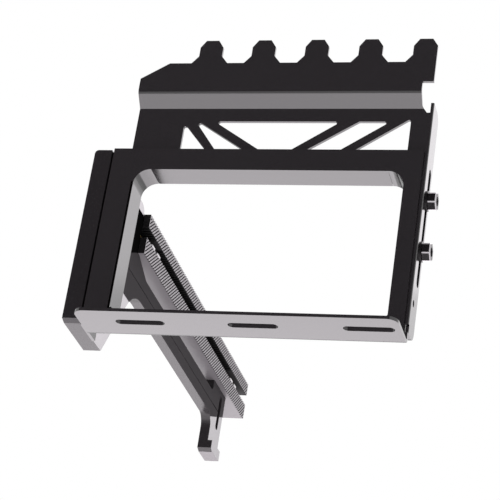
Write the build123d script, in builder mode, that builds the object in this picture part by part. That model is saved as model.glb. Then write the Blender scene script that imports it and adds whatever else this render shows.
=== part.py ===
"""Vertical card bracket: a slot plate with five tongues, a window frame for the card's
own bracket, and a support arm that carries a long two-row socket behind the frame.

Frame: millimetres, +Z from the screw tab towards the tongues, +Y into the case,
+X towards the card screws. The origin is the centre of the tab's middle slot, on the
tab's underside.
"""
import os

from build123d import *

# Sheet metal
sheet = 1.2
bend_inner = 1.2
edge_break = 0.5

# Slot plate, seen from the front
slot_pitch = 20.32
slot_count = 5
overall_height = 120.0
plate_left = -59.9
plate_right = 51.7
plate_low_left = -63.3
low_step_z = 72.0

# Screw tab with its three slots
tab_reach = 8.5
tab_corner = 4.0
tab_slot_length = 17.9
tab_slot_width = 3.6
tab_slot_spacing = 2 * slot_pitch

# Tongues
tongue_offset = 6.6
tongue_length = 9.9
tongue_tip = 4.8
tongue_width = 8.9
tongue_foot = 13.9
tongue_tip_chamfer = 3.0
tongue_foot_height = 3.0
band_corner_x = 10.5
band_corner_z = 6.7
band_drop_z = 101.7
band_notch = 4.1

# Joggle between the tongue band and the plate
joggle_top = 98.3
joggle_depth = 5.2
joggle_height = 4.4

# Truss openings as corner points on the plate's front
truss_bottom = 74.2
truss_corner = 0.7
truss_openings = [
    [(-41.4, truss_bottom), (-41.4, 87.0), (-30.5, truss_bottom)],
    [(-26.8, truss_bottom), (-38.0, 89.1), (-14.8, truss_bottom)],
    [(-8.7, truss_bottom), (-29.9, 87.9), (18.2, 87.9), (-1.7, truss_bottom)],
    [(4.0, truss_bottom), (24.9, 87.9), (36.5, 87.9), (16.6, truss_bottom)],
    [(22.2, truss_bottom), (43.9, 89.2), (43.9, truss_bottom)],
]

# Side flange that takes the card's screws
flange_depth = 10.3
flange_top = 95.8
flange_bottom = 4.5
flange_corner = 4.0
relief_z = 91.7
relief_width = 2.4
low_relief_z = 7.5
card_slot_setback = 6.6
card_slot_width = 3.8
card_slot_low = 24.6
card_slot_high = 71.5
flange_hole_radius = 1.25
flange_hole_setback = 3.8
flange_hole_z = 17.0

# Window frame
frame_front = 9.5
frame_left = -66.4
frame_right = 50.25
frame_bottom = 3.0
frame_top = 75.45
window_left = -56.7
window_right = 44.2
window_bottom = 9.5
window_top = 66.7
window_corner = 6.0
rim_depth = 11.0
rim_clearance = 0.3
rim_seam_width = 0.3
frame_return = 14.0

# Weld studs on the frame and the nuts behind the plate
stud_radius = 1.25
stud_clearance = 0.15
nut_width = 5.0
nut_thickness = 2.0
stud_overhang = 0.8
top_studs = [-50.0, -20.0, 12.0, 40.0]
top_stud_z = 71.1
low_studs = [-40.0, -5.0, 30.0]
low_stud_z = 5.1
side_studs = [20.0, 50.0]
side_stud_x = -60.75

# Support arm: column beside the frame, gusset, long bar, hook
arm_gap = 0.75
column_width = 6.65
column_depth = 26.0
column_bevel_z = 0.85
column_bevel_y = 2.7
column_corner = 1.5
arm_thickness = 4.25
arm_bottom = 4.6
arm_top = 74.7
gusset_reach = 45.0
gusset_corner = 5.0
knee_reach = 49.2
knee_fillet = 17.5
bar_low_z = 40.1
bar_high_z = 55.2
arm_reach = 186.0
recess_z = 50.1
recess_start = 47.0
recess_run = 13.0
recess_end = 166.0
recess_fillet = 2.0
recess_run_fillet = 6.0
hook_reach = 170.5
hook_low_z = 24.3
hook_fillet = 5.5
hook_chamfer_y = 1.9
hook_chamfer_z = 6.0
pad_height = 4.4
pad_width = 6.2
pad_depth = 13.5
pad_bevel = 0.9
hook_slot_y = 179.5
hook_slot_z = 45.3
hook_slot_length = 16.0
hook_slot_width = 3.4
seam_z = 45.2
seam_start = 38.0
seam_end = 169.0
seam_depth = 0.25
seam_width = 0.4

# Screws that hold the arm to the frame
arm_screw_heights = [22.0, 62.0]
arm_screw_setback = 8.5
arm_screw_radius = 1.5
arm_screw_head_radius = 2.6
arm_screw_head_height = 1.8
arm_screw_drive = 2.0
arm_screw_bite = 5.0
boss_radius = 3.2
thread_clearance = 0.03
hole_clearance = 0.15

# Socket: base, two ribbed jaws, contacts and guide clips
socket_start = 45.4
socket_end = 209.0
socket_height = 16.9
jaw_low_height = 6.8
jaw_high_height = 5.5
jaw_overhang = 2.6
socket_depth = 11.25
slot_floor = 1.4
rib_count = 82
rib_angle = 41.0
rib_groove_width = 0.55
rib_groove_depth = 0.4
rib_margin = 0.35
contact_count = 76
contact_pitch = 2.0
contact_width = 0.9
contact_height = 0.5
contact_length = 5.0
clip_height = 2.2
clip_depth = 2.4
clip_spans = [(53.0, 57.6), (58.6, 65.0), (181.3, 185.8), (187.2, 191.3)]

# Riser board behind the socket, with its spacers and screws
board_thickness = 1.6
board_start = 22.0
board_end = 206.0
board_low_z = 50.2
board_high_z = 74.6
board_corner = 2.0
board_spots = [(34.0, 58.5), (34.0, 69.5), (172.2, 52.9)]
board_spacer_radius = 2.2
board_screw_radius = 1.25
board_screw_head_radius = 2.2
board_screw_head_height = 1.4
board_screw_bite = 3.0

# Card screws with washers and nuts on the flange
card_screw_top = 58.86
card_screw_radius = 1.6
hex_width = 6.35
hex_height = 3.2
hex_recess_radius = 1.7
hex_recess_depth = 0.8
hex_edge = 0.3
washer_radius = 3.7
washer_thickness = 0.5
card_nut_width = 6.35
card_nut_thickness = 2.4
card_screw_overhang = 1.2

# Places worked out from the sizes above
plate_front = frame_front + sheet
plate_back = plate_front + sheet
bend_outer = bend_inner + sheet
tongue_base = overall_height - tongue_length
first_tongue = tongue_offset - (slot_count - 1) / 2 * slot_pitch
band_right = tongue_offset + (slot_count - 1) / 2 * slot_pitch + tongue_width / 2
joggle_low = joggle_top - joggle_height
flange_inner = plate_right - sheet
flange_back = plate_front + flange_depth
rim_left = window_left - sheet
rim_right = window_right + sheet
rim_low = window_bottom - sheet
rim_high = window_top + sheet
arm_face = frame_left - arm_gap
arm_back_face = arm_face - arm_thickness
column_left = arm_face - column_width
jaw_face = arm_face + jaw_overhang
board_face = jaw_face - socket_depth
board_back = board_face - board_thickness
socket_top = bar_high_z + socket_height
socket_near = frame_front + socket_start
socket_far = frame_front + socket_end
socket_length = socket_end - socket_start
socket_middle = (socket_near + socket_far) / 2
slot_face = board_face + slot_floor
rib_overrun = 10
slot_low = bar_high_z + jaw_low_height
slot_high = socket_top - jaw_high_height
card_slot_y = plate_front + card_slot_setback
card_slot_middle = (card_slot_low + card_slot_high) / 2
return_face = frame_left + sheet
washer_face = plate_right + washer_thickness
stud_length = sheet + nut_thickness + stud_overhang
stud_spots = (
    [(x, top_stud_z) for x in top_studs]
    + [(x, low_stud_z) for x in low_studs]
    + [(side_stud_x, z) for z in side_studs]
)
arm_screw_spots = [(frame_front + arm_screw_setback, z) for z in arm_screw_heights]
board_screw_spots = [(frame_front + y, z) for y, z in board_spots]
card_screw_spots = [(card_slot_y, card_screw_top), (card_slot_y, card_screw_top - slot_pitch)]


def front_plane(y):
    """Plane seen from the front at depth y: local x is X, local y is Z, normal is -Y."""
    return Plane.XZ.offset(-y)


def side_plane(x):
    """Plane seen from the side at x: local x is Y, local y is Z, normal is +X."""
    return Plane.YZ.offset(x)


def outline(points, mode=Mode.ADD):
    """Face through the points, in the sketch that is open."""
    return Polygon(*points, align=None, mode=mode)


# Slot plate: the folded section drawn from the side, trimmed to its front outline
with BuildPart() as slot_plate:
    with BuildSketch(side_plane(plate_low_left)) as section:
        with BuildLine():
            FilletPolyline(
                (-tab_reach, 0),
                (plate_back, 0),
                (plate_back, joggle_low),
                (plate_back - joggle_depth, joggle_top),
                (plate_back - joggle_depth, overall_height),
                radius=(bend_outer, edge_break, sheet + edge_break),
            )
            offset(amount=sheet, side=Side.LEFT)
        make_face()
    extrude(amount=plate_right - plate_low_left)

    with BuildSketch(front_plane(plate_back)) as front_outline:
        outline(
            [
                (plate_low_left, 0),
                (plate_right, 0),
                (plate_right, relief_z),
                (plate_right - relief_width, relief_z),
                (band_right - band_notch, relief_z + relief_width),
                (band_right - band_notch, band_drop_z),
                (band_right, band_drop_z),
                (band_right, tongue_base),
                (plate_left + band_corner_x, tongue_base),
                (plate_left, tongue_base - band_corner_z),
                (plate_left, low_step_z),
                (plate_low_left, low_step_z),
            ]
        )
        for k in range(slot_count):
            with Locations((first_tongue + k * slot_pitch, tongue_base)):
                outline(
                    [
                        (-tongue_foot / 2, 0),
                        (-tongue_width / 2, tongue_foot_height),
                        (-tongue_width / 2, tongue_length - tongue_tip_chamfer),
                        (-tongue_tip / 2, tongue_length),
                        (tongue_tip / 2, tongue_length),
                        (tongue_width / 2, tongue_length - tongue_tip_chamfer),
                        (tongue_width / 2, tongue_foot_height),
                        (tongue_foot / 2, 0),
                    ]
                )
        # The last tongue's right side runs straight down to the band
        with Locations((band_right, tongue_base)):
            Rectangle(tongue_foot, tongue_length, align=Align.MIN, mode=Mode.SUBTRACT)
    extrude(amount=plate_back + tab_reach, mode=Mode.INTERSECT)

    # Card window, truss openings and stud holes
    with BuildSketch(front_plane(plate_back)) as openings:
        with Locations(((rim_left + rim_right) / 2, (rim_low + rim_high) / 2)):
            RectangleRounded(
                rim_right - rim_left + 2 * rim_clearance,
                rim_high - rim_low + 2 * rim_clearance,
                window_corner + sheet + rim_clearance,
            )
        with Locations(*stud_spots):
            Circle(stud_radius + stud_clearance)
    extrude(amount=sheet, mode=Mode.SUBTRACT)
    with BuildSketch(front_plane(plate_back)) as truss:
        for corners in truss_openings:
            outline(corners)
        fillet(truss.vertices(), truss_corner)
    extrude(amount=sheet, mode=Mode.SUBTRACT)

    # Tab: rounded free corners and three screw slots
    fillet(slot_plate.edges().filter_by(Axis.Z).group_by(Axis.Y)[0], tab_corner)
    with BuildSketch(Plane.XY) as tab_slots:
        with Locations((-tab_slot_spacing, 0), (0, 0), (tab_slot_spacing, 0)):
            SlotOverall(tab_slot_length, tab_slot_width)
    extrude(amount=sheet, mode=Mode.SUBTRACT)

    # Side flange, folded back along the plate's right edge, with its bend reliefs
    with BuildSketch(side_plane(flange_inner)) as flange:
        outline(
            [
                (plate_front, low_relief_z),
                (plate_front, flange_top),
                (flange_back, flange_top),
                (flange_back, flange_bottom),
                (plate_back, flange_bottom),
                (plate_back, low_relief_z),
            ]
        )
        fillet(flange.vertices().group_by(Axis.X)[-1], flange_corner)
    extrude(amount=sheet)
    with BuildSketch(front_plane(plate_back)) as low_relief:
        with Locations((plate_right, bend_outer)):
            Rectangle(relief_width, low_relief_z - bend_outer, align=(Align.MAX, Align.MIN))
    extrude(amount=sheet, mode=Mode.SUBTRACT)
    with BuildSketch(side_plane(flange_inner)) as flange_cuts:
        with Locations((card_slot_y, card_slot_middle)):
            SlotOverall(card_slot_high - card_slot_low, card_slot_width, rotation=90)
        with Locations((plate_front + flange_hole_setback, flange_hole_z)):
            Circle(flange_hole_radius)
    extrude(amount=sheet, mode=Mode.SUBTRACT)
    bend_line = (
        slot_plate.edges().filter_by(Axis.Z)
        .filter_by_position(Axis.X, plate_right - 0.01, plate_right + 0.01)
        .filter_by_position(Axis.Y, plate_front - 0.01, plate_front + 0.01)
        .sort_by(Edge.length)[-1]
    )
    fillet(bend_line, edge_break)

# Window frame: face sheet, deep rim round the window, side return and weld studs
with BuildPart() as window_frame:
    with BuildSketch(front_plane(plate_front)) as face:
        with Locations(((frame_left + frame_right) / 2, (frame_bottom + frame_top) / 2)):
            Rectangle(frame_right - frame_left, frame_top - frame_bottom)
    extrude(amount=sheet)
    with BuildSketch(front_plane(frame_front + rim_depth)) as rim:
        with Locations(((rim_left + rim_right) / 2, (rim_low + rim_high) / 2)):
            RectangleRounded(rim_right - rim_left, rim_high - rim_low, window_corner + sheet)
    extrude(amount=rim_depth)
    with BuildSketch(front_plane(frame_front + rim_depth)) as window:
        with Locations(((window_left + window_right) / 2, (window_bottom + window_top) / 2)):
            RectangleRounded(
                window_right - window_left, window_top - window_bottom, window_corner
            )
    extrude(amount=rim_depth, mode=Mode.SUBTRACT)
    with BuildSketch(Plane.XY.offset(window_top)) as rim_seams:
        with Locations(
            (window_left + window_corner, plate_front),
            (window_right - window_corner, plate_front),
        ):
            Rectangle(rim_seam_width, rim_depth, align=(Align.CENTER, Align.MIN))
    extrude(amount=2 * sheet, mode=Mode.SUBTRACT)
    with BuildSketch(side_plane(frame_left)) as side_return:
        with Locations((frame_front, frame_bottom)):
            Rectangle(frame_return, frame_top - frame_bottom, align=Align.MIN)
        with Locations(*arm_screw_spots):
            Circle(arm_screw_radius + hole_clearance, mode=Mode.SUBTRACT)
    extrude(amount=sheet)
    with BuildSketch(front_plane(plate_front + stud_length)) as studs:
        with Locations(*stud_spots):
            Circle(stud_radius)
    extrude(amount=stud_length)

# Nuts on the weld studs
with BuildPart() as frame_nuts:
    with BuildSketch(front_plane(plate_back + nut_thickness)) as nut_faces:
        with Locations(*stud_spots):
            RegularPolygon(nut_width / 2, 6, major_radius=False, rotation=30)
            Circle(stud_radius + thread_clearance, mode=Mode.SUBTRACT)
    extrude(amount=nut_thickness)

# Support arm
with BuildPart() as support_arm:
    with BuildSketch(side_plane(arm_back_face)) as arm_profile:
        arm_points = [
            (column_bevel_y, arm_bottom),
            (column_depth, arm_bottom),
            (knee_reach, bar_low_z),
            (hook_reach, bar_low_z),
            (hook_reach, hook_low_z + pad_bevel),
            (hook_reach + column_bevel_y, hook_low_z),
            (arm_reach - hook_chamfer_y, hook_low_z),
            (arm_reach, hook_low_z + hook_chamfer_z),
            (arm_reach, bar_high_z),
            (recess_end, bar_high_z),
            (recess_end, recess_z),
            (recess_start + recess_run, recess_z),
            (recess_start, bar_high_z),
            (gusset_reach, bar_high_z),
            (gusset_reach, arm_top),
            (0, arm_top),
            (0, arm_bottom + column_bevel_z),
        ]
        with Locations((frame_front, 0)):
            outline(arm_points)
        for reach, z, radius in [
            (knee_reach, bar_low_z, knee_fillet),
            (hook_reach, bar_low_z, hook_fillet),
            (recess_end, recess_z, recess_fillet),
            (recess_start + recess_run, recess_z, recess_run_fillet),
            (gusset_reach, arm_top, gusset_corner),
        ]:
            corner = (frame_front + reach, z, 0)
            fillet(arm_profile.vertices().sort_by_distance(corner)[0], radius)
    extrude(amount=arm_thickness)

    # Column beside the frame, wider than the plate behind it
    with BuildSketch(side_plane(column_left)) as column:
        with Locations((frame_front, 0)):
            outline(
                [
                    (column_bevel_y, arm_bottom),
                    (column_depth, arm_bottom),
                    (column_depth, arm_top),
                    (0, arm_top),
                    (0, arm_bottom + column_bevel_z),
                ]
            )
    extrude(amount=column_width)
    fillet(support_arm.faces().sort_by(Axis.X)[0].edges().sort_by(Axis.Z)[-1], column_corner)

    # Wider foot under the hook
    with BuildSketch(side_plane(arm_back_face)) as pad:
        with Locations((frame_front + hook_reach, hook_low_z)):
            outline(
                [
                    (0, pad_bevel),
                    (column_bevel_y, 0),
                    (pad_depth, 0),
                    (pad_depth, pad_height),
                    (0, pad_height),
                ]
            )
    extrude(amount=pad_width)

    # Bosses that meet the frame's side return
    with BuildSketch(side_plane(arm_face)) as bosses:
        with Locations(*arm_screw_spots):
            Circle(boss_radius)
    extrude(amount=arm_gap)

    # Hook slot, seam line and screw holes
    with BuildSketch(side_plane(arm_back_face)) as hook_slot:
        with Locations((frame_front + hook_slot_y, hook_slot_z)):
            SlotOverall(hook_slot_length, hook_slot_width, rotation=90)
    extrude(amount=arm_thickness, mode=Mode.SUBTRACT)
    with BuildSketch(side_plane(arm_face)) as seam:
        with Locations((frame_front + seam_start, seam_z)):
            Rectangle(seam_end - seam_start, seam_width, align=(Align.MIN, Align.CENTER))
    extrude(amount=-seam_depth, mode=Mode.SUBTRACT)
    with BuildSketch(side_plane(frame_left)) as arm_holes:
        with Locations(*arm_screw_spots):
            Circle(arm_screw_radius + thread_clearance)
    extrude(amount=-arm_gap - arm_screw_bite, mode=Mode.SUBTRACT)
    with BuildSketch(side_plane(arm_back_face)) as board_holes:
        with Locations(*board_screw_spots):
            Circle(board_screw_radius + thread_clearance)
    extrude(amount=board_screw_bite, mode=Mode.SUBTRACT)

# Screws through the frame's side return into the arm
with BuildPart() as arm_screws:
    with BuildSketch(side_plane(return_face)) as arm_screw_heads:
        with Locations(*arm_screw_spots):
            Circle(arm_screw_head_radius)
    extrude(amount=arm_screw_head_height)
    with BuildSketch(side_plane(return_face)) as arm_screw_shanks:
        with Locations(*arm_screw_spots):
            Circle(arm_screw_radius)
    extrude(amount=-sheet - arm_gap - arm_screw_bite)
    with BuildSketch(side_plane(return_face + arm_screw_head_height)) as arm_screw_drives:
        with Locations(*arm_screw_spots):
            RegularPolygon(arm_screw_drive / 2, 6, major_radius=False)
    extrude(amount=-arm_screw_head_height / 2, mode=Mode.SUBTRACT)

# Socket body: open-ended channel whose two jaws are ribbed on their right faces
with BuildPart() as socket_body:
    with BuildSketch(side_plane(board_face)) as socket_side:
        with Locations((socket_near, bar_high_z)):
            Rectangle(socket_length, socket_height, align=Align.MIN)
    extrude(amount=socket_depth)
    with BuildSketch(side_plane(slot_face)) as card_slot:
        with Locations((socket_near, slot_low)):
            Rectangle(socket_length, slot_high - slot_low, align=Align.MIN)
    extrude(amount=socket_depth - slot_floor, mode=Mode.SUBTRACT)
    with BuildSketch(side_plane(jaw_face)) as rib_grooves:
        with Locations((socket_middle, bar_high_z + socket_height / 2)):
            with GridLocations(socket_length / rib_count, 1, rib_count + rib_overrun, 1):
                Rectangle(2 * socket_height, rib_groove_width, rotation=rib_angle)
            Rectangle(socket_length - 2 * rib_margin, socket_height, mode=Mode.INTERSECT)
    extrude(amount=-rib_groove_depth, mode=Mode.SUBTRACT)

# Spring contacts along both walls of the slot
with BuildPart() as socket_contacts:
    with BuildSketch(side_plane(slot_face)) as contact_rows:
        with Locations(
            (socket_middle, slot_low + contact_height / 2),
            (socket_middle, slot_high - contact_height / 2),
        ):
            with GridLocations(contact_pitch, 1, contact_count, 1):
                Rectangle(contact_width, contact_height)
    extrude(amount=contact_length)

# Guide clips at both ends of the slot's mouth
with BuildPart() as guide_clips:
    with BuildSketch(side_plane(jaw_face)) as clip_faces:
        for start, end in clip_spans:
            with Locations((frame_front + start, slot_low)):
                Rectangle(end - start, clip_height, align=Align.MIN)
    extrude(amount=-clip_depth)

# Riser board behind the socket
with BuildPart() as riser_board:
    with BuildSketch(side_plane(board_back)) as board_side:
        with Locations((
            frame_front + (board_start + board_end) / 2,
            (board_low_z + board_high_z) / 2,
        )):
            RectangleRounded(
                board_end - board_start, board_high_z - board_low_z, board_corner
            )
        with Locations(*board_screw_spots):
            Circle(board_screw_radius + hole_clearance, mode=Mode.SUBTRACT)
    extrude(amount=board_thickness)

# Spacers between the board and the arm
with BuildPart() as board_spacers:
    with BuildSketch(side_plane(board_face)) as spacer_rings:
        with Locations(*board_screw_spots):
            Circle(board_spacer_radius)
            Circle(board_screw_radius + hole_clearance, mode=Mode.SUBTRACT)
    extrude(amount=arm_back_face - board_face)

# Screws through the board and its spacers into the arm
with BuildPart() as board_screws:
    with BuildSketch(side_plane(board_back)) as board_screw_sides:
        with Locations(*board_screw_spots):
            Circle(board_screw_head_radius)
    extrude(amount=-board_screw_head_height)
    with BuildSketch(side_plane(board_back)) as board_screw_shanks:
        with Locations(*board_screw_spots):
            Circle(board_screw_radius)
    extrude(amount=arm_back_face - board_back + board_screw_bite)

# Hex screws that clamp the card's bracket to the flange
with BuildPart() as card_screws:
    with BuildSketch(side_plane(washer_face)) as hex_heads:
        with Locations(*card_screw_spots):
            RegularPolygon(hex_width / 2, 6, major_radius=False, rotation=30)
    extrude(amount=hex_height)
    chamfer(card_screws.faces().sort_by(Axis.X)[-2:].edges(), hex_edge)
    with BuildSketch(side_plane(washer_face + hex_height)) as hex_recesses:
        with Locations(*card_screw_spots):
            Circle(hex_recess_radius)
    extrude(amount=-hex_recess_depth, mode=Mode.SUBTRACT)
    with BuildSketch(side_plane(washer_face)) as card_screw_shanks:
        with Locations(*card_screw_spots):
            Circle(card_screw_radius)
    extrude(amount=-washer_thickness - sheet - card_nut_thickness - card_screw_overhang)

# Washers under the hex heads
with BuildPart() as card_washers:
    with BuildSketch(side_plane(plate_right)) as washer_rings:
        with Locations(*card_screw_spots):
            Circle(washer_radius)
            Circle(card_screw_radius + hole_clearance, mode=Mode.SUBTRACT)
    extrude(amount=washer_thickness)

# Nuts inside the flange
with BuildPart() as card_nuts:
    with BuildSketch(side_plane(flange_inner)) as card_nut_faces:
        with Locations(*card_screw_spots):
            RegularPolygon(card_nut_width / 2, 6, major_radius=False, rotation=30)
            Circle(card_screw_radius + thread_clearance, mode=Mode.SUBTRACT)
    extrude(amount=-card_nut_thickness)

pieces = {
    "slot_plate": slot_plate,
    "window_frame": window_frame,
    "frame_nuts": frame_nuts,
    "support_arm": support_arm,
    "arm_screws": arm_screws,
    "socket_body": socket_body,
    "socket_contacts": socket_contacts,
    "guide_clips": guide_clips,
    "riser_board": riser_board,
    "board_spacers": board_spacers,
    "board_screws": board_screws,
    "card_screws": card_screws,
    "card_washers": card_washers,
    "card_nuts": card_nuts,
}
os.makedirs("parts", exist_ok=True)
for name, piece in pieces.items():
    export_step(piece.part, f"parts/{name}.step")
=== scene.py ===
# %% [markdown]
# # A vertical card bracket
#
# The real object holds an expansion card on edge in a computer case. A slot plate with
# five tongues and a raised window frame are folded from black sheet steel. A thicker arm
# beside them carries a long socket. The solids come ready-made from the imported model, so
# this script's work is the finish of each piece, the small parts that repeat, the light
# and the camera.

# %% Load the frame
import math

import bmesh
import bpy
from mathutils import Matrix, Vector


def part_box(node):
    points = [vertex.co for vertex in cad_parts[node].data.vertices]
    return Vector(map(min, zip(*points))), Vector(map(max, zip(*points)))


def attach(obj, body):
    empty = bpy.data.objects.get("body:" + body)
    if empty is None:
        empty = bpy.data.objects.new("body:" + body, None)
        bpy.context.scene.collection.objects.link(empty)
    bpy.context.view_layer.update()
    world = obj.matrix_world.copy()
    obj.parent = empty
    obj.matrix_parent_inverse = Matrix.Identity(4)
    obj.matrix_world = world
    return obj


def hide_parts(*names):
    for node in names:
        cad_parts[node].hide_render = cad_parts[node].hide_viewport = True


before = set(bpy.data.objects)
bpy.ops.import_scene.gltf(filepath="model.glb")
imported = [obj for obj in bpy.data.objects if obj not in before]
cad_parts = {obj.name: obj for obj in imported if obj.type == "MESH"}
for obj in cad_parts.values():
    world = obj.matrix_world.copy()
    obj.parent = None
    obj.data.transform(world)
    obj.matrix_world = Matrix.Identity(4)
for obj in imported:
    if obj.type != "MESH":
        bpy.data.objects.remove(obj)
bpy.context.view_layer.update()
MM = 0.001
print("pieces:", sorted(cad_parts))

# %% [markdown]
# ## The camera
#
# The photograph was taken from low on the right with a long lens. A camera could be set
# by eye. Here its place, turn and lens were solved from corners of the plate whose real
# spacing is known, so a point of the model falls on the same point of the picture. The
# three directions below are the camera's own right, down and forward.

# %% Place the camera
camera_place = Vector((183.52, -601.54, -280.56)) * MM
camera_right = Vector((0.96306, 0.23007, 0.13997))
camera_down = Vector((0.01843, 0.46224, -0.88656))
camera_forward = Vector((-0.26867, 0.85639, 0.44092))
camera_lens = 144.79
SENSOR_WIDTH = 36.0
NEAREST, FARTHEST = 0.01, 100.0

camera_data = bpy.data.cameras.new("photo_camera")
camera = bpy.data.objects.new("photo_camera", camera_data)
bpy.context.collection.objects.link(camera)
camera_data.sensor_width = SENSOR_WIDTH
camera_data.lens = camera_lens
camera_data.clip_start = NEAREST
camera_data.clip_end = FARTHEST
turn = Matrix((camera_right, -camera_down, -camera_forward)).transposed()
camera.matrix_world = Matrix.Translation(camera_place) @ turn.to_4x4()
bpy.context.scene.camera = camera
bpy.context.scene.view_settings.view_transform = "Standard"
print("camera distance in m:", round(camera_place.length, 3))

# %% [markdown]
# ## The light
#
# A black sheet shows its shape by what it reflects. In the photograph the faces that
# look down and to the right are nearly white, and those that look at the camera stay
# black. Small lamps would leave small glints, so the lamps here are wide soft panels:
# one under the bracket, one behind it on the right and one above it. A fourth, small and
# weak, stands near the side flange. Lamps don't show to the camera, which sees the white
# world instead.

# %% Hang the soft panels
LAMP_COLOR = (1.0, 0.945, 0.99)


def soft_panel(name, place, facing, size, watts):
    """Square area lamp at place, in metres, that shines along facing."""
    data = bpy.data.lights.new(name, "AREA")
    data.shape = "SQUARE"
    data.size = size
    data.energy = watts
    data.color = LAMP_COLOR
    panel = bpy.data.objects.new(name, data)
    bpy.context.collection.objects.link(panel)
    turn = Vector(facing).to_track_quat("-Z", "Y").to_matrix().to_4x4()
    panel.matrix_world = Matrix.Translation(Vector(place)) @ turn
    panel.visible_camera = False
    print(name, "watts:", watts)


soft_panel(
    "panel_under", place=(-0.40, 1.20, -1.10), facing=(0, 0, 1), size=4.4, watts=114.0
)
soft_panel(
    "panel_right", place=(0.60, 1.60, 1.60), facing=(0, -1, 0), size=1.6, watts=4.5
)
soft_panel(
    "panel_flange",
    place=(0.33, 0.42, 0.33), facing=(-0.5, -0.8, -0.3), size=0.46, watts=0.3,
)
soft_panel(
    "panel_top", place=(-0.10, 0.90, 2.20), facing=(0, -0.2, -1), size=2.0, watts=30.0
)

# %% [markdown]
# The world is plain white to the camera, and to rays that come off gloss or pass
# through clear plastic. All other rays get a dim grey, so it adds little light of its
# own. Light Path tells these rays apart, and two Maximum nodes gather the first three.

# %% Set the world
AMBIENT_COLOR = (1, 0.95, 0.99, 1)
AMBIENT_STRENGTH = 0.35
world = bpy.data.worlds.new("studio")
bpy.context.scene.world = world
world.use_nodes = True
world_tree = world.node_tree
world_tree.nodes.clear()
world_out = world_tree.nodes.new("ShaderNodeOutputWorld")
shown = world_tree.nodes.new("ShaderNodeBackground")
ambient = world_tree.nodes.new("ShaderNodeBackground")
chooser = world_tree.nodes.new("ShaderNodeMixShader")
ray = world_tree.nodes.new("ShaderNodeLightPath")
gloss_or_camera = world_tree.nodes.new("ShaderNodeMath")
gloss_or_camera.operation = "MAXIMUM"
seen = world_tree.nodes.new("ShaderNodeMath")
seen.operation = "MAXIMUM"
shown.inputs["Color"].default_value = (1, 1, 1, 1)
shown.inputs["Strength"].default_value = 1.0
ambient.inputs["Color"].default_value = AMBIENT_COLOR
ambient.inputs["Strength"].default_value = AMBIENT_STRENGTH
world_tree.links.new(ray.outputs["Is Camera Ray"], gloss_or_camera.inputs[0])
world_tree.links.new(ray.outputs["Is Glossy Ray"], gloss_or_camera.inputs[1])
world_tree.links.new(gloss_or_camera.outputs[0], seen.inputs[0])
world_tree.links.new(ray.outputs["Is Transmission Ray"], seen.inputs[1])
world_tree.links.new(seen.outputs[0], chooser.inputs["Fac"])
world_tree.links.new(ambient.outputs[0], chooser.inputs[1])
world_tree.links.new(shown.outputs[0], chooser.inputs[2])
world_tree.links.new(chooser.outputs[0], world_out.inputs["Surface"])
print("world nodes:", len(world_tree.nodes))

# %% [markdown]
# ## The floor
#
# The case holds the bracket by its tab, so it hangs free. The floor is a wide pale
# sheet well below it and below the camera. A plane could be added from Blender's menu
# and scaled, but a mesh from four corners needs no scale. The card of the next step is a
# flat square too, so one helper draws both.

# %% Lay the floor
FLOOR_DROP = 1.4
FLOOR_HALF = 25.0


def place_mesh(name, mesh):
    """Object at the frame's origin that shows the mesh."""
    placed = bpy.data.objects.new(name, mesh)
    bpy.context.collection.objects.link(placed)
    return placed


def square_mesh(name, middle, side, up, half):
    """Flat square round middle, with its edges along side and up."""
    signs = [(-1, -1), (1, -1), (1, 1), (-1, 1)]
    corners = [middle + (side * a + up * b) * half for a, b in signs]
    mesh = bpy.data.meshes.new(name)
    mesh.from_pydata(corners, [], [(0, 1, 2, 3)])
    return mesh


floor_middle = Vector((0, 0, -FLOOR_DROP))
floor_mesh = square_mesh(
    "floor", floor_middle, Vector((1, 0, 0)), Vector((0, 1, 0)), FLOOR_HALF
)
floor = place_mesh("floor", floor_mesh)
print("floor width in m:", 2 * FLOOR_HALF)

# %% [markdown]
# A black sheet is only black where it has something black to reflect. Photographers
# stand a black card, called a flag, in front of such a part. A darker world would do it
# too, but would dull the faces that should shine. This flag faces the bracket from the
# front and above, and the camera doesn't see it.

# %% Stand the flag
flag_way = Vector((-0.27, -0.86, 0.44))
FLAG_DISTANCE = 1.6
FLAG_HALF = 1.4
flag_side = flag_way.cross(Vector((0, 0, 1))).normalized()
flag_up = flag_side.cross(flag_way).normalized()
flag_mesh = square_mesh("flag", flag_way * FLAG_DISTANCE, flag_side, flag_up, FLAG_HALF)
flag = place_mesh("flag", flag_mesh)
flag.visible_camera = False
print("flag width in m:", 2 * FLAG_HALF)


# %% [markdown]
# ## Faces that lie on the arm
#
# The arm's inner face carries thin sheets of painted light and shade. A dull film on its
# long bar and a black pad on the gusset are painted shade, and pale metal skins on its
# foot, its hook and its shoulder are painted light. All of them follow the arm's own
# outline. They could be drawn again by hand, but cutting each out of a copy of that face
# and thickening it keeps every curve. A imported piece is made of loose triangles, so the
# points that they share are merged before anything is cut.

# %% A helper that copies a flat face and cuts it to size
SAME_POINT = 1e-7
SAME_AFTER_CUT = 1e-6
ON_FACE = 1e-5


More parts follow.
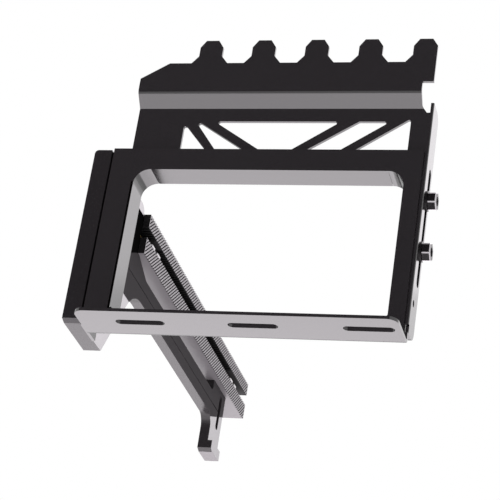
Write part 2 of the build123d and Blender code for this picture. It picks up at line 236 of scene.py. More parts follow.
def peel_face(name, node, axis, place, cuts, thickness):
    """Thin sheet on a CAD node's flat face, where the axis has the value place.

    Each cut is a point and a direction, and takes away what lies that way of the point.
    """
    shape = bmesh.new()
    shape.from_mesh(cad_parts[node].data)
    bmesh.ops.remove_doubles(shape, verts=shape.verts, dist=SAME_POINT)
    away = [
        f for f in shape.faces if any(abs(v.co[axis] - place) > ON_FACE for v in f.verts)
    ]
    bmesh.ops.delete(shape, geom=away, context="FACES")
    for point, way in cuts:
        everything = shape.verts[:] + shape.edges[:] + shape.faces[:]
        bmesh.ops.bisect_plane(
            shape, geom=everything, plane_co=point, plane_no=way, clear_outer=True
        )
    bmesh.ops.remove_doubles(shape, verts=shape.verts, dist=SAME_AFTER_CUT)
    mesh = bpy.data.meshes.new(name)
    shape.to_mesh(mesh)
    shape.free()
    sheet = place_mesh(name, mesh)
    wall = sheet.modifiers.new("thickness", "SOLIDIFY")
    wall.thickness = thickness
    wall.offset = 1.0
    print(name, "faces:", len(mesh.polygons))
    return sheet


# %% [markdown]
# Where each sheet ends was read from the photograph. The places are in the model's own
# directions: X across, Y into the case, Z up.

# %% Measure the arm
AXIS_X, AXIS_Z = 0, 2
FRONT, BACK, DOWN, UP = (0, -1, 0), (0, 1, 0), (0, 0, -1), (0, 0, 1)
ARM_GAP = 0.75 * MM
COLUMN_DEPTH = 26.0 * MM
HOOK_BOTTOM = 24.3 * MM
HOOK_FOOT_STEP = 1.95 * MM
frame_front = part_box("window_frame")[0].y
arm_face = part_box("window_frame")[0].x - ARM_GAP
socket_low, socket_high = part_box("socket_body")
bar_top = socket_low.z
bar_middle = (0, (socket_low.y + socket_high.y) / 2, 0)
foot_front = (0, frame_front + 5 * MM, 0)
foot_back = (0, frame_front + 80 * MM, 0)
foot_top = (0, 0, 34.2 * MM)
# The film's slanted end follows the edge of the shadow that the socket casts on the bar.
shade_film_start = (0, frame_front + 35.3 * MM, 0)
shade_film_end = (0, frame_front + 165 * MM, 37.6 * MM)
shade_film_end_way = Vector((0, 8.2, -21))
# The pad's black is painted shade on the gusset beside the socket's end.
shade_pad_start = (0, frame_front + COLUMN_DEPTH + 0.4 * MM, 0)
shade_pad_top = (0, 0, 70.7 * MM)
shade_pad_corner = (0, frame_front + 45.5 * MM, 55.3 * MM)
shade_pad_slant = (0, 0.51, -1)
print("arm's inner face at X in mm:", round(arm_face / MM, 2))

# %% [markdown]
# The pale places that paint light are only a skin. The film and the pad that paint shade
# are thicker, the pad thicker still.

# %% Cut the sheets
SKIN = 0.05 * MM
RIB_SKIN = 0.06 * MM
SHADE_FILM = 0.15 * MM
SHADE_PAD = 0.2 * MM

# Painted light: pale metal skins on the foot, the hook and the shoulder, the arm's lit
# faces.
foot_highlight = peel_face(
    "foot_highlight", "support_arm", AXIS_X, arm_face,
    [(foot_front, FRONT), (foot_back, BACK), (foot_top, UP)], SKIN,
)
hook_highlight = peel_face(
    "hook_highlight", "support_arm", AXIS_X, arm_face, [(shade_film_end, -shade_film_end_way)], SKIN
)
shoulder_highlight = peel_face(
    "shoulder_highlight", "support_arm", AXIS_X, arm_face,
    [(shade_pad_start, FRONT), (shade_pad_top, DOWN)], SKIN,
)
# Painted shade: a dull dark sheet on the bar under the socket.
shade_film = peel_face(
    "arm_shade_film", "support_arm", AXIS_X, arm_face,
    [
        (shade_film_start, FRONT),
        ((0, 0, bar_top), UP),
        (foot_top, DOWN),
        (shade_film_end, shade_film_end_way),
    ],
    SHADE_FILM,
)
# Painted shade: a black sheet on the gusset.
gusset_shade_pad = peel_face(
    "gusset_shade_pad", "support_arm", AXIS_X, arm_face,
    [(shade_pad_start, FRONT), (shade_pad_top, UP), (shade_pad_corner, shade_pad_slant)], SHADE_PAD,
)
# Painted light: paler sheets on the rib tops and on the undersides of the socket and the
# hook, lit copies of their finish.
rib_caps = peel_face("rib_caps", "socket_body", AXIS_X, socket_high.x, [], RIB_SKIN)
socket_sole = peel_face("socket_sole", "socket_body", AXIS_Z, bar_top, [], SKIN)
hook_sole = peel_face(
    "hook_sole", "support_arm", AXIS_Z, HOOK_BOTTOM, [(bar_middle, FRONT)], SKIN
)
# The hook's side face gets the same pale skin, as painted light.
hook_cheek = peel_face(
    "hook_cheek", "support_arm", AXIS_X, arm_face + HOOK_FOOT_STEP, [], SKIN
)

# %% [markdown]
# ## The window's lower corners
#
# The window is rounded at the top and square at the bottom, where its rim runs down to
# the tab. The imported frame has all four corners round. A new frame could be built, but
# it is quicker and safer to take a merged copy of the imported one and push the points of
# its two lower arcs out to a square.

# %% A helper that squares one corner
WINDOW_CORNER = 6.0 * MM
SHEET = 1.2 * MM
ARC_SLACK = 0.05 * MM
OFF_AXIS = 1e-6


def square_corner(shape, corner, side):
    """Pushes the arcs round a lower corner out to straight walls. Left is side -1."""
    centre_x = corner.x - side * WINDOW_CORNER
    centre_z = corner.z + WINDOW_CORNER
    arcs = {}
    for v in shape.verts:
        across, down = (v.co.x - centre_x) * side, centre_z - v.co.z
        if across < OFF_AXIS or down < OFF_AXIS:
            continue
        for radius in (WINDOW_CORNER, WINDOW_CORNER + SHEET):
            if abs(math.hypot(across, down) - radius) < ARC_SLACK:
                depth = round(v.co.y / MM, 2)
                arcs.setdefault((depth, radius), []).append((v, across, down))
    for (_, radius), arc in arcs.items():
        middle = min(arc, key=lambda part: abs(part[1] - part[2]))[0]
        for v, across, down in arc:
            grow = radius / max(across, down)
            if v is middle:
                across, down, grow = radius, radius, 1.0
            v.co.x = centre_x + side * across * grow
            v.co.z = centre_z - down * grow
    return len(arcs)


# %% [markdown]
# Each corner has four arcs: the inner and the outer wall, at the rim's front and back.

# %% Square both lower corners
window_left = Vector((-56.7, 0, 9.5)) * MM
window_right = Vector((44.2, 0, 9.5)) * MM
frame_shape = bmesh.new()
frame_shape.from_mesh(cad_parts["window_frame"].data)
bmesh.ops.remove_doubles(frame_shape, verts=frame_shape.verts, dist=SAME_POINT)
for corner, side in ((window_left, -1), (window_right, 1)):
    print("arcs squared:", square_corner(frame_shape, corner, side))
frame_mesh = bpy.data.meshes.new("square_frame")
frame_shape.to_mesh(frame_mesh)
frame_shape.free()
square_frame = place_mesh("square_frame", frame_mesh)

# %% [markdown]
# ## Pieces that repeat along the socket
#
# A card socket is a row of the same few parts. They could be copied in a Python loop, or
# by an Array modifier. A Geometry Nodes tree was chosen because its count, pitch, start
# and material are inputs with names, and one tree serves every row of the bracket. The
# tree ends in real geometry, which is then made a plain mesh.

# %% Build the row tree
def row_tree():
    """Tree that repeats its input mesh Count times, one Step apart, from Start."""
    tree = bpy.data.node_groups.new("straight_row", "GeometryNodeTree")
    panel = tree.interface
    panel.new_socket("Geometry", in_out="INPUT", socket_type="NodeSocketGeometry")
    panel.new_socket("Count", in_out="INPUT", socket_type="NodeSocketInt")
    panel.new_socket("Step", in_out="INPUT", socket_type="NodeSocketVector")
    panel.new_socket("Start", in_out="INPUT", socket_type="NodeSocketVector")
    panel.new_socket("Material", in_out="INPUT", socket_type="NodeSocketMaterial")
    panel.new_socket("Geometry", in_out="OUTPUT", socket_type="NodeSocketGeometry")
    nodes, links = tree.nodes, tree.links
    given = nodes.new("NodeGroupInput")
    result = nodes.new("NodeGroupOutput")
    line = nodes.new("GeometryNodeMeshLine")
    copies = nodes.new("GeometryNodeInstanceOnPoints")
    real = nodes.new("GeometryNodeRealizeInstances")
    finish = nodes.new("GeometryNodeSetMaterial")
    links.new(given.outputs["Count"], line.inputs["Count"])
    links.new(given.outputs["Start"], line.inputs["Start Location"])
    links.new(given.outputs["Step"], line.inputs["Offset"])
    links.new(line.outputs["Mesh"], copies.inputs["Points"])
    links.new(given.outputs["Geometry"], copies.inputs["Instance"])
    links.new(copies.outputs["Instances"], real.inputs["Geometry"])
    links.new(real.outputs["Geometry"], finish.inputs["Geometry"])
    links.new(given.outputs["Material"], finish.inputs["Material"])
    links.new(finish.outputs["Geometry"], result.inputs["Geometry"])
    return tree


straight_row = row_tree()
print("row tree nodes:", len(straight_row.nodes))

# %% [markdown]
# A modifier knows its inputs by identifier, not by name, so the helper looks each one
# up. It gives the modifier its values, lets Blender work the row out, and keeps only
# the mesh that comes out. Rows that belong together are joined into one piece.

# %% Helpers that set out and join rows
def set_out(name, one, count, step, start, material):
    """Object that holds count copies of the mesh one, as a plain mesh."""
    holder = place_mesh(name + "_tree", one)
    row = holder.modifiers.new("row", "NODES")
    row.node_group = straight_row
    values = {"Count": count, "Step": step, "Start": start, "Material": material}
    for socket in straight_row.interface.items_tree:
        if socket.in_out == "INPUT" and socket.name in values:
            row[socket.identifier] = values[socket.name]
    ready = holder.evaluated_get(bpy.context.evaluated_depsgraph_get())
    mesh = bpy.data.meshes.new_from_object(ready)
    mesh.name = name
    bpy.data.objects.remove(holder)
    made = place_mesh(name, mesh)
    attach(made, "root")
    print(name, "copies:", count, "faces:", len(mesh.polygons))
    return made


def join_meshes(name, objects):
    """One object out of several, with their places kept in its mesh."""
    with bpy.context.temp_override(
        active_object=objects[0], selected_editable_objects=objects
    ):
        bpy.ops.object.join()
    objects[0].name = name
    return objects[0]


# %% [markdown]
# ## One part of each row
#
# A contact is a thin plated leaf that bows towards the card. It could be a curve with a
# bevel, but a curve's section is round. So its side view is a few points, each given a
# width and a thickness. The upper row is the same leaf turned over.

# %% A helper that draws a leaf
def leaf_mesh(name, points, width, thickness, flip=1):
    """Strip through (x, z) points, width wide along Y, with flip -1 for the upper row."""
    half = width / 2
    section = [(-half, 0), (half, 0), (half, thickness), (-half, thickness)]
    shape = bmesh.new()
    rings = [
        [shape.verts.new((x, y, flip * (z + t))) for y, t in section] for x, z in points
    ]
    for a, b in zip(rings, rings[1:]):
        for k in range(4):
            shape.faces.new((a[k], a[(k + 1) % 4], b[(k + 1) % 4], b[k]))
    shape.faces.new(rings[0])
    shape.faces.new(rings[-1])
    bmesh.ops.recalc_face_normals(shape, faces=shape.faces)
    mesh = bpy.data.meshes.new(name)
    shape.to_mesh(mesh)
    shape.free()
    return mesh


# %% [markdown]
# The comb, the clips and a few slivers are made of boxes. A box could get its rounded
# edges from a Bevel modifier. Here they are in the mesh itself, so a row repeats them as
# they are.

# %% Helpers that draw a block
def block_mesh(name, low, high, edge):
    """Box between two corners with its edges eased."""
    shape = bmesh.new()
    bmesh.ops.create_cube(shape, size=1.0)
    low, high = Vector(low), Vector(high)
    for v in shape.verts:
        v.co = Vector(
            (low[k] + high[k]) / 2 + v.co[k] * (high[k] - low[k]) for k in range(3)
        )
    bmesh.ops.bevel(
        shape, geom=shape.edges[:], offset=edge, segments=2, profile=0.5, affect="EDGES"
    )
    mesh = bpy.data.meshes.new(name)
    shape.to_mesh(mesh)
    shape.free()
    return mesh


def add_block(name, low, high, edge, finish):
    """Eased box of one finish, as a piece of its own."""
    block = place_mesh(name, block_mesh(name, low, high, edge))
    block.data.materials.append(finish)
    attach(block, "root")
    print(name, "size in mm:", [round(s / MM, 2) for s in block.dimensions])


# %% [markdown]
# The slot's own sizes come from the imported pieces: the contacts' box gives its two
# walls and its depth, and the socket's box gives the mouth.

# %% Measure the slot
contact_low, contact_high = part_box("socket_contacts")
wall_low, wall_high = contact_low.z, contact_high.z
slot_floor = contact_low.x
mouth = socket_high.x
CONTACT_COUNT = 76
CONTACT_WIDTH = 0.9 * MM
contact_pitch = (contact_high.y - contact_low.y - CONTACT_WIDTH) / (CONTACT_COUNT - 1)
first_contact = contact_low.y + CONTACT_WIDTH / 2
print("slot height in mm:", round((wall_high - wall_low) / MM, 2))
print("contact pitch in mm:", round(contact_pitch / MM, 3))

# %% [markdown]
# ## Materials
#
# Each finish is a Principled shader with the same three layers of detail: a slow
# change of shade over the surface, a fine grain that breaks up the gloss, and a bump at
# the grain's own scale. An image could carry the same detail, but every piece would have
# to be unwrapped for it. Noise needs only Object coordinates, in metres, so the grain
# keeps its size on every piece.

# %% A helper for every finish
DRIFT_SIZE = 45.0 * MM
GLOSS_SPREAD = 0.05
BUMP_HEIGHT = 0.02 * MM


def finish_material(name, color, roughness, grain_mm, bump, shade=0.15, **sockets):
    """Principled material with grained gloss. grain_mm is the size of one grain."""
    material = bpy.data.materials.new(name)
    material.use_nodes = True
    tree = material.node_tree
    shader = tree.nodes["Principled BSDF"]
    place = tree.nodes.new("ShaderNodeTexCoord")

    grain = tree.nodes.new("ShaderNodeTexNoise")
    grain.inputs["Scale"].default_value = 1.0 / (grain_mm * MM)
    grain.inputs["Detail"].default_value = 3.0
    drift = tree.nodes.new("ShaderNodeTexNoise")
    drift.inputs["Scale"].default_value = 1.0 / DRIFT_SIZE
    tree.links.new(place.outputs["Object"], grain.inputs["Vector"])
    tree.links.new(place.outputs["Object"], drift.inputs["Vector"])

    tint = tree.nodes.new("ShaderNodeMix")
    tint.data_type = "RGBA"
    tint.inputs["A"].default_value = (*[c * (1 - shade) for c in color], 1)
    tint.inputs["B"].default_value = (*[c * (1 + shade) for c in color], 1)
    tree.links.new(drift.outputs["Fac"], tint.inputs["Factor"])
    tree.links.new(tint.outputs["Result"], shader.inputs["Base Color"])

    gloss = tree.nodes.new("ShaderNodeMapRange")
    gloss.inputs["To Min"].default_value = roughness - GLOSS_SPREAD
    gloss.inputs["To Max"].default_value = roughness + GLOSS_SPREAD
    tree.links.new(grain.outputs["Fac"], gloss.inputs["Value"])
    tree.links.new(gloss.outputs["Result"], shader.inputs["Roughness"])

    relief = tree.nodes.new("ShaderNodeBump")
    relief.inputs["Strength"].default_value = bump
    relief.inputs["Distance"].default_value = BUMP_HEIGHT
    tree.links.new(grain.outputs["Fac"], relief.inputs["Height"])
    tree.links.new(relief.outputs["Normal"], shader.inputs["Normal"])
    for socket, value in sockets.items():
        shader.inputs[socket.replace("_", " ")].default_value = value
    return material


# %% [markdown]
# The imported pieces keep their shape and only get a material. Any material that a piece
# brings along is cleared first.

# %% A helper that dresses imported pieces
def dress(material, *nodes):
    """Gives CAD nodes their material."""
    for node in nodes:
        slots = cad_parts[node].data.materials
        slots.clear()
        slots.append(material)
    print(material.name, "on", *nodes)


# %% [markdown]
# The sheet is powder coated: deep black and satin, with a tight orange-peel grain. Its
# reflections carry the whole look of the plate, so its specular level is high and its
# roughness low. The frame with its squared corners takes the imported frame's place.

# %% Coat the sheet
coated_sheet = finish_material(
    "coated_sheet", (0.014, 0.0128, 0.0138), roughness=0.13, grain_mm=0.5, bump=0.22,
    Specular_IOR_Level=0.9,
)
dress(coated_sheet, "slot_plate", "window_frame")
square_frame.data.materials.clear()
square_frame.data.materials.append(coated_sheet)
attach(square_frame, "root")
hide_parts("window_frame")

# %% [markdown]
# The arm has a duller coat. It could share the sheet's finish, but then its front would
# come out lighter than in the photograph. It reflects less of the panels than the sheet
# does, and its own shade is a little lighter, so the two look equally dark in front.

# %% Coat the arm
arm_coat = finish_material(
    "arm_coat", (0.03, 0.0278, 0.0296), roughness=0.26, grain_mm=0.4, bump=0.25,
    Specular_IOR_Level=0.3,
)
dress(arm_coat, "support_arm")

# %% [markdown]
# The socket is matt moulded plastic. A high roughness and a low specular level spread
# what it reflects, so its ribs stay soft. The clips in its mouth are pale and smooth.

# %% Colour the socket
socket_plastic = finish_material(
    "socket_plastic", (0.018, 0.0172, 0.018), roughness=0.6, grain_mm=0.3, bump=0.2,
    Specular_IOR_Level=0.2,
)
dress(socket_plastic, "socket_body")
clip_plastic = finish_material(
    "clip_plastic", (0.8, 0.8, 0.8), roughness=0.35, grain_mm=0.6, bump=0.1
)
dress(clip_plastic, "guide_clips")

# %% [markdown]
# Hidden fasteners are zinc plated, and the contacts are plated in a warm tone. A metal
# colours what it reflects, so Metallic is 1 there. The two card screws are black, and
# the riser board has a dark green mask, so both stay at 0.

# %% Finish the metals and the board
zinc = finish_material(
    "zinc", (0.62, 0.62, 0.64), roughness=0.35, grain_mm=0.3, bump=0.2, Metallic=1.0
)
dress(zinc, "frame_nuts", "arm_screws", "board_spacers", "board_screws", "card_nuts")
black_screw = finish_material(
    "black_screw", (0.014, 0.013, 0.014), roughness=0.35, grain_mm=0.6, bump=0.4,
    Specular_IOR_Level=0.25,
)
dress(black_screw, "card_screws", "card_washers")
plated = finish_material(
    "plated", (0.72, 0.52, 0.22), roughness=0.3, grain_mm=0.2, bump=0.1, Metallic=1.0
)
dress(plated, "socket_contacts")
board_mask = finish_material(
    "board_mask", (0.01, 0.03, 0.018), roughness=0.4, grain_mm=0.6, bump=0.15
)
dress(board_mask, "riser_board")

# %% [markdown]
# The lamps shine on the bracket and leave the floor dim, so the paper also glows a
# little where the camera or a gloss sees it, as the white world does. The flag is a dark
# cloth without any gloss.

# %% Colour the floor and the flag
FLOOR_GLOW = 0.6
floor_paper = finish_material(
    "floor_paper", (0.8, 0.8, 0.8), roughness=0.8, grain_mm=4.0, bump=0.05
)
floor_mesh.materials.append(floor_paper)
flag_cloth = finish_material(
    "flag_cloth", (0.2, 0.19, 0.2), roughness=1.0, grain_mm=2.0, bump=0.1,
    Specular_IOR_Level=0.0,
)
flag_mesh.materials.append(flag_cloth)

paper_tree = floor_paper.node_tree
paper_ray = paper_tree.nodes.new("ShaderNodeLightPath")
paper_seen = paper_tree.nodes.new("ShaderNodeMath")
paper_seen.operation = "MAXIMUM"
paper_glow = paper_tree.nodes.new("ShaderNodeMath")
paper_glow.operation = "MULTIPLY"
paper_glow.inputs[1].default_value = FLOOR_GLOW
paper_tree.links.new(paper_ray.outputs["Is Camera Ray"], paper_seen.inputs[0])
paper_tree.links.new(paper_ray.outputs["Is Glossy Ray"], paper_seen.inputs[1])
paper_tree.links.new(paper_seen.outputs[0], paper_glow.inputs[0])
paper_shader = paper_tree.nodes["Principled BSDF"]
paper_shader.inputs["Emission Color"].default_value = (1, 1, 1, 1)
paper_tree.links.new(paper_glow.outputs[0], paper_shader.inputs["Emission Strength"])
print("floor glow:", FLOOR_GLOW)

# %% [markdown]
# ## Dress the arm's face
#
# These sheets paint light and shade. The film is dull and a little lighter than the coat,
# and the pad swallows light; both are painted shade. Pale metal at the foot, the hook and
# the shoulder is painted light. The socket's rib tops and the soles under it and the hook
# are a paler grey, lit copies of their finish as painted light. One material could change
# colour at a line, but each of these has an edge that can be felt, so each is a sheet of
# its own.

# %% Finish the sheets
# Pale metal here is painted light on the arm's lit faces.
painted_light_metal = finish_material(
    "painted_light_metal", (0.44, 0.425, 0.44), roughness=0.4, grain_mm=0.3, bump=0.2,
    Metallic=1.0,
)
# The film's dull finish paints the shade on the bar.
shade_film_sheet = finish_material(
    "shade_film_sheet", (0.042, 0.0395, 0.0415), roughness=0.9, grain_mm=0.25, bump=0.3,
    Specular_IOR_Level=0.15,
)
# This near-black paints shade on the gusset and in the gap, and a dark reflection on the
# window's edge. It also colours the dark seam line.
shade_and_seam_black = finish_material(
    "shade_and_seam_black", (0.004, 0.004, 0.004), roughness=1.0, grain_mm=0.4, bump=0.6,
    Specular_IOR_Level=0.0,
)
# The paler greys below are painted light on undersides and rib tops.
lit_sole_grey = finish_material(
    "lit_sole_grey", (0.155, 0.148, 0.155), roughness=0.4, grain_mm=0.3, bump=0.2
)
lit_rib_grey = finish_material(
    "lit_rib_grey", (0.3, 0.288, 0.3), roughness=0.4, grain_mm=0.3, bump=0.2
)
for sheet, finish, slot in (
    (foot_highlight, painted_light_metal, "zinc_steel"),
    (hook_highlight, painted_light_metal, "zinc_steel"),
    (shoulder_highlight, painted_light_metal, "zinc_steel"),
    (hook_sole, lit_sole_grey, "arm_black"),
    (hook_cheek, painted_light_metal, "zinc_steel"),
    (shade_film, shade_film_sheet, "arm_black"),
    (gusset_shade_pad, shade_and_seam_black, "arm_black"),
    (rib_caps, lit_rib_grey, "socket_plastic"),
    (socket_sole, lit_sole_grey, "socket_plastic"),
):
    sheet.data.materials.append(finish)
    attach(sheet, "root")
    print(sheet.name, "finish:", finish.name)

# %% [markdown]
# A strip of the same black fills the gap between the arm's column and the frame, so no
# light comes through it, and its black is painted shade for the dark gap. A dark face in
# front would hide the gap from the camera only, and a block closes it from the back as
# well. It stays a little inside on every side.

# %% Fill the gap
SEAL_SLACK = 0.02 * MM
SEAL_INSET = 0.6 * MM
SEAL_START = 0.5 * MM
SEAL_END = 3.0 * MM
SEAL_EDGE = 0.1 * MM
arm_low, arm_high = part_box("support_arm")
add_block(
    "gap_seal",
    (arm_face + SEAL_SLACK, frame_front + SEAL_START, arm_low.z + SEAL_INSET),
    (arm_face + ARM_GAP - SEAL_SLACK, frame_front + SEAL_END, arm_high.z - SEAL_INSET),
    SEAL_EDGE, shade_and_seam_black,
)

# %% [markdown]
# A few slivers finish the sheets. The window's left edge is rolled, and the dark line that
# its curve reflects is painted on as a thin black sliver. The relief at the tab's right
# end is closed. The seam along the arm runs on to the hook's slot. Such small things could
# be cut into the solids, and are laid on them here as thin blocks.

# %% Line the edge, close the relief, run the seam on
LINE_EDGE = 0.01 * MM
RELIEF_EDGE = 0.05 * MM
SHADE_LINE_OUTER, SHADE_LINE_INNER = 0.85 * MM, 0.02 * MM
SHADE_LINE_PROUD, SHADE_LINE_SUNK = 0.03 * MM, 0.02 * MM
SHADE_LINE_START, SHADE_LINE_TOP = 0.2 * MM, 61.5 * MM
SEAM_INNER, SEAM_OUTER = 0.1 * MM, 0.17 * MM
SEAM_START, SEAM_END = 168.9 * MM, 177.9 * MM
SEAM_LOW, SEAM_HIGH = 45.0 * MM, 45.4 * MM
# Painted dark reflection: a black sliver along the window's rolled left edge.
add_block(
    "painted_edge_shade",
    (window_left.x - SHADE_LINE_OUTER, frame_front - SHADE_LINE_PROUD, window_left.z + SHADE_LINE_START),
    (window_left.x - SHADE_LINE_INNER, frame_front + SHADE_LINE_SUNK, SHADE_LINE_TOP),
    LINE_EDGE, shade_and_seam_black,
)
add_block(
    "relief_fill",
    (49.32 * MM, 10.75 * MM, 2.3 * MM), (50.48 * MM, 11.85 * MM, 7.55 * MM),
    RELIEF_EDGE, coated_sheet,
)
add_block(
    "relief_foot",
    (50.3 * MM, 10.78 * MM, 2.3 * MM), (51.62 * MM, 11.82 * MM, 4.45 * MM),
    RELIEF_EDGE, coated_sheet,
)
add_block(
    "seam_tail",
    (arm_face + SEAM_INNER, frame_front + SEAM_START, SEAM_LOW),
    (arm_face + SEAM_OUTER, frame_front + SEAM_END, SEAM_HIGH),
    LINE_EDGE, shade_and_seam_black,
)

# %% [markdown]
# ## Contacts
#
# On the real socket each contact is a sprung leaf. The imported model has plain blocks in
# their place, and two rows of leaves stand for them here and bow into the slot.

# %% Set out the contacts
LEAF = [(0.0, 0.05), (1.2, 0.1), (2.6, 0.5), (3.7, 0.95), (4.3, 0.9), (5.0, 0.35)]
LEAF_THICKNESS = 0.2 * MM
leaf_points = [(x * MM, z * MM) for x, z in LEAF]
contact_rows = []
for side, wall, flip in (("low", wall_low, 1), ("high", wall_high, -1)):
    leaf = leaf_mesh("leaf_" + side, leaf_points, CONTACT_WIDTH, LEAF_THICKNESS, flip)
    contact_rows.append(
        set_out(
            "contacts_" + side, leaf, CONTACT_COUNT, (0, contact_pitch, 0),
            (slot_floor, first_contact, wall), plated,
        )
    )
contacts = join_meshes("contacts", contact_rows)
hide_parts("socket_contacts")

# %% [markdown]
# ## The comb in the mouth
#
# In front of the contacts both walls carry a black comb, whose black is painted shade for
# the dark inside of the slot between its jaws. A dark paint on the walls would look flat
# when seen from the side, so each wall gets a thin strip with teeth on it.

# %% Size the comb
COMB_SPANS = [
    ("low", 65.4 * MM, 180.9 * MM),
    ("high", 45.9 * MM, 56.9 * MM),
    ("high", 65.4 * MM, 180.9 * MM),
]
WALLS = {"low": (wall_low, 1), "high": (wall_high, -1)}
TOOTH_PITCH = 2.0 * MM
TOOTH_HALF = 0.4 * MM
TOOTH = 0.35 * MM
TOOTH_EDGE = 0.06 * MM
STRIP = 0.3 * MM
STRIP_EDGE = 0.05 * MM
TOOTH_ROOT = 0.9
comb_low_x = contact_high.x + 0.2 * MM
comb_high_x = mouth - 0.12 * MM
# Its near-black is painted shade for the inside of the slot.
slot_shade_black = finish_material(
    "slot_shade_black", (0.004, 0.004, 0.004), roughness=0.95, grain_mm=0.3, bump=0.2,
    Specular_IOR_Level=0.15,
)
print("comb depth in mm:", round((comb_high_x - comb_low_x) / MM, 2))

# %% [markdown]
# The strip is one block, and its teeth are a row of small blocks that start a little
# inside it, so that no gap shows between them.

# %% Line the slot's mouth
comb_pieces = []
for side, comb_start, comb_end in COMB_SPANS:
    wall, into = WALLS[side]
    tooth_count = int((comb_end - comb_start) / TOOTH_PITCH)
    z0, z1 = sorted((wall, wall + into * STRIP))
    strip = place_mesh(
        "comb_strip_" + side,
        block_mesh(
            "comb_strip_" + side,
            (comb_low_x, frame_front + comb_start, z0),
            (comb_high_x, frame_front + comb_end, z1),
            STRIP_EDGE,
        ),
    )
    strip.data.materials.append(slot_shade_black)
    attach(strip, "root")
    t0, t1 = sorted((into * STRIP * TOOTH_ROOT, into * (STRIP + TOOTH)))
    tooth = block_mesh(
        "tooth_" + side,
        (comb_low_x, -TOOTH_HALF, t0), (comb_high_x, TOOTH_HALF, t1), TOOTH_EDGE,
    )
    teeth = set_out(
        "teeth_" + side, tooth, tooth_count, (0, TOOTH_PITCH, 0),
        (0, frame_front + comb_start + TOOTH_PITCH / 2, wall), slot_shade_black,
    )
    comb_pieces += [strip, teeth]
comb = join_meshes("comb", comb_pieces)

# %% [markdown]
# ## Guide clips
#
# At each end of the mouth sit two small bright clips on the lower wall, just inside
# the edge. They guide the card's edge in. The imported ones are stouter, so slim ones are
# drawn here at the photograph's size.

# %% Make the clips
CLIP_SPANS = [(53.0, 56.8), (60.2, 64.4), (181.3, 185.0), (187.8, 191.3)]
CLIP_HEIGHT = 1.1 * MM
CLIP_DEPTH = 2.2 * MM
CLIP_SETBACK = 0.03 * MM
CLIP_EDGE = 0.15 * MM
clip_pieces = []
for start, end in CLIP_SPANS:
    clip = place_mesh(
        "clip",
        block_mesh(
            "clip",
            (mouth - CLIP_DEPTH, frame_front + start * MM, wall_low),
            (mouth - CLIP_SETBACK, frame_front + end * MM, wall_low + CLIP_HEIGHT),
            CLIP_EDGE,
        ),
    )
    clip.data.materials.append(clip_plastic)
    clip_pieces.append(clip)
clips = join_meshes("clips", clip_pieces)
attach(clips, "root")
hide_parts("guide_clips")
print("clips:", len(CLIP_SPANS))

# %% [markdown]
# ## Solder tails
#
# On the outer side of the riser board each contact ends in a short soldered tail. The
# photograph doesn't show that side, so this is how such boards are made. One tail is a
# small cone with a blunt tip, with few sides because there are 152 of them.

# %% A helper that draws one tail
TAIL_SIDES = 8
TAIL_PROFILE = [(0, 1), (0.35, 0.55), (1, 0.4)]


def tail_mesh(radius, height):
    """Soldered tail along -X from the origin: a cone that ends in a blunt pin."""
    shape = bmesh.new()
    rings = []
    for along, wide in TAIL_PROFILE:
        x, r = along * height, wide * radius
        rings.append([
            shape.verts.new((
                -x,
                r * math.cos(2 * math.pi * k / TAIL_SIDES),
                r * math.sin(2 * math.pi * k / TAIL_SIDES),
            ))
            for k in range(TAIL_SIDES)
        ])
    for a, b in zip(rings, rings[1:]):
        for k in range(TAIL_SIDES):
            after = (k + 1) % TAIL_SIDES
            shape.faces.new((a[k], a[after], b[after], b[k]))
    shape.faces.new(rings[0])
    shape.faces.new(rings[-1])
    bmesh.ops.recalc_face_normals(shape, faces=shape.faces)
    mesh = bpy.data.meshes.new("tail")
    shape.to_mesh(mesh)
    shape.free()
    return mesh


# %% [markdown]
# The tails stand at the contacts' own pitch, in two rows at the height of the slot's
# walls.

# %% Set out the tails
TAIL_RADIUS = 0.6 * MM
TAIL_HEIGHT = 1.0 * MM
solder = finish_material(
    "solder", (0.7, 0.7, 0.72), roughness=0.3, grain_mm=0.2, bump=0.1, Metallic=1.0
)
board_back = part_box("riser_board")[0].x
one_tail = tail_mesh(TAIL_RADIUS, TAIL_HEIGHT)
tail_rows = [
    set_out(
        "tails_" + side, one_tail, CONTACT_COUNT, (0, contact_pitch, 0),
        (board_back, first_contact, wall), solder,
    )
    for side, wall in (("low", wall_low), ("high", wall_high))
]
tails = join_meshes("solder_tails", tail_rows)

# %% [markdown]
# ## Hex screws
#
# The two screws that clamp the card are black, with a painted highlight of bright steel on
# their edges. It could be painted by a node that finds edges. Here the screw's edges are
# real narrow faces, marked with an index of their own.

# %% A helper that draws the head
EDGE_FINISH = 1


def shift_points(parts, distance):
    """Moves the points among some extruded parts along X."""
    for part in parts:
        if isinstance(part, bmesh.types.BMVert):
            part.co.x += distance


def screw_head(width, height, glint_width):
    """Hex head that stands on X = 0, with its edges cut and marked for a painted
    highlight.
    """
    shape = bmesh.new()
    turns = [math.radians(30 + 60 * k) for k in range(6)]
    corners = [(width / 2 * math.cos(t), width / 2 * math.sin(t)) for t in turns]
    base = shape.faces.new([shape.verts.new((0, y, z)) for y, z in corners])
    head = bmesh.ops.extrude_face_region(shape, geom=[base])["geom"]
    shift_points(head, height)
    bmesh.ops.recalc_face_normals(shape, faces=shape.faces)
    edges = bmesh.ops.bevel(
        shape, geom=shape.edges[:], offset=glint_width, segments=1, profile=0.5, affect="EDGES"
    )["faces"]
    for face in edges:
        face.material_index = EDGE_FINISH
    return shape


# %% [markdown]
# The recess for the key could be cut with a Boolean, which leaves long thin triangles.
# Here the head's outer face is inset and pushed in. The shank is a plain rod that starts
# a little inside the head.

# %% Helpers that sink the recess and add the shank
SHANK_SIDES = 24


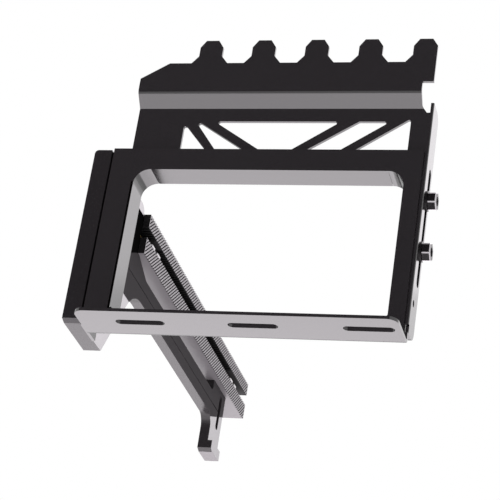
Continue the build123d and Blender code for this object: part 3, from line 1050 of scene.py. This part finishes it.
def sink_recess(shape, rim, depth):
    """Sinks the head's outer face by depth, within a rim."""
    outward = [f for f in shape.faces if f.normal.x > 0.9]
    end = max(outward, key=lambda f: f.calc_center_median().x)
    bmesh.ops.inset_region(shape, faces=[end], thickness=rim)
    sunk = bmesh.ops.extrude_face_region(shape, geom=[end])["geom"]
    shift_points(sunk, -depth)
    bmesh.ops.delete(shape, geom=[end], context="FACES_ONLY")


def add_shank(shape, radius, length, start):
    """Adds a round rod that runs from X = start towards -X."""
    rod = bmesh.ops.create_cone(
        shape, cap_ends=True, segments=SHANK_SIDES, radius1=radius, radius2=radius,
        depth=length,
    )["verts"]
    for v in rod:
        v.co = Vector((v.co.z - length / 2 + start, v.co.y, v.co.x))
    bmesh.ops.recalc_face_normals(shape, faces=shape.faces)


# %% [markdown]
# The row tree gives a mesh one material, so the screw is parted into its flats and its
# edges, and both are set out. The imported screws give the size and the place: their box
# is one slot pitch and one head high.

# %% A helper that parts one finish from a shape
def one_finish(name, shape, index):
    """Mesh of a shape's faces that are marked with the index."""
    part = shape.copy()
    other = [f for f in part.faces if f.material_index != index]
    bmesh.ops.delete(part, geom=other, context="FACES")
    for f in part.faces:
        f.material_index = 0
    mesh = bpy.data.meshes.new(name)
    part.to_mesh(mesh)
    part.free()
    return mesh


# %% Set out the two screws
CARD_PITCH = 20.32 * MM
GLINT_EDGE = 0.3 * MM
SHANK_RADIUS = 1.6 * MM
RECESS_RIM = 0.2
RECESS_DEPTH = 0.4
screw_low, screw_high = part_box("card_screws")
washer_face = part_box("card_washers")[1].x
head_width = screw_high.z - screw_low.z - CARD_PITCH
head_height = screw_high.x - washer_face
screw = screw_head(head_width, head_height, GLINT_EDGE)
sink_recess(screw, head_width * RECESS_RIM, head_height * RECESS_DEPTH)
add_shank(screw, SHANK_RADIUS, washer_face - screw_low.x + GLINT_EDGE, GLINT_EDGE)
# Painted highlight: bright steel on the head's narrow edge faces.
glint_steel = finish_material(
    "glint_steel", (0.6, 0.58, 0.6), roughness=0.25, grain_mm=0.3, bump=0.2, Metallic=1.0
)
screw_start = (
    washer_face, (screw_low.y + screw_high.y) / 2, screw_low.z + head_width / 2
)
screw_rows = [
    set_out(
        name + "_row", one_finish(name, screw, index), 2, (0, 0, CARD_PITCH),
        screw_start, finish,
    )
    for name, index, finish in (
        ("screw_flats", 0, black_screw), ("screw_edges", EDGE_FINISH, glint_steel)
    )
]
screw.free()
screws = join_meshes("hex_screws", screw_rows)
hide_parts("card_screws")
print("head across its corners in mm:", round(head_width / MM, 2))
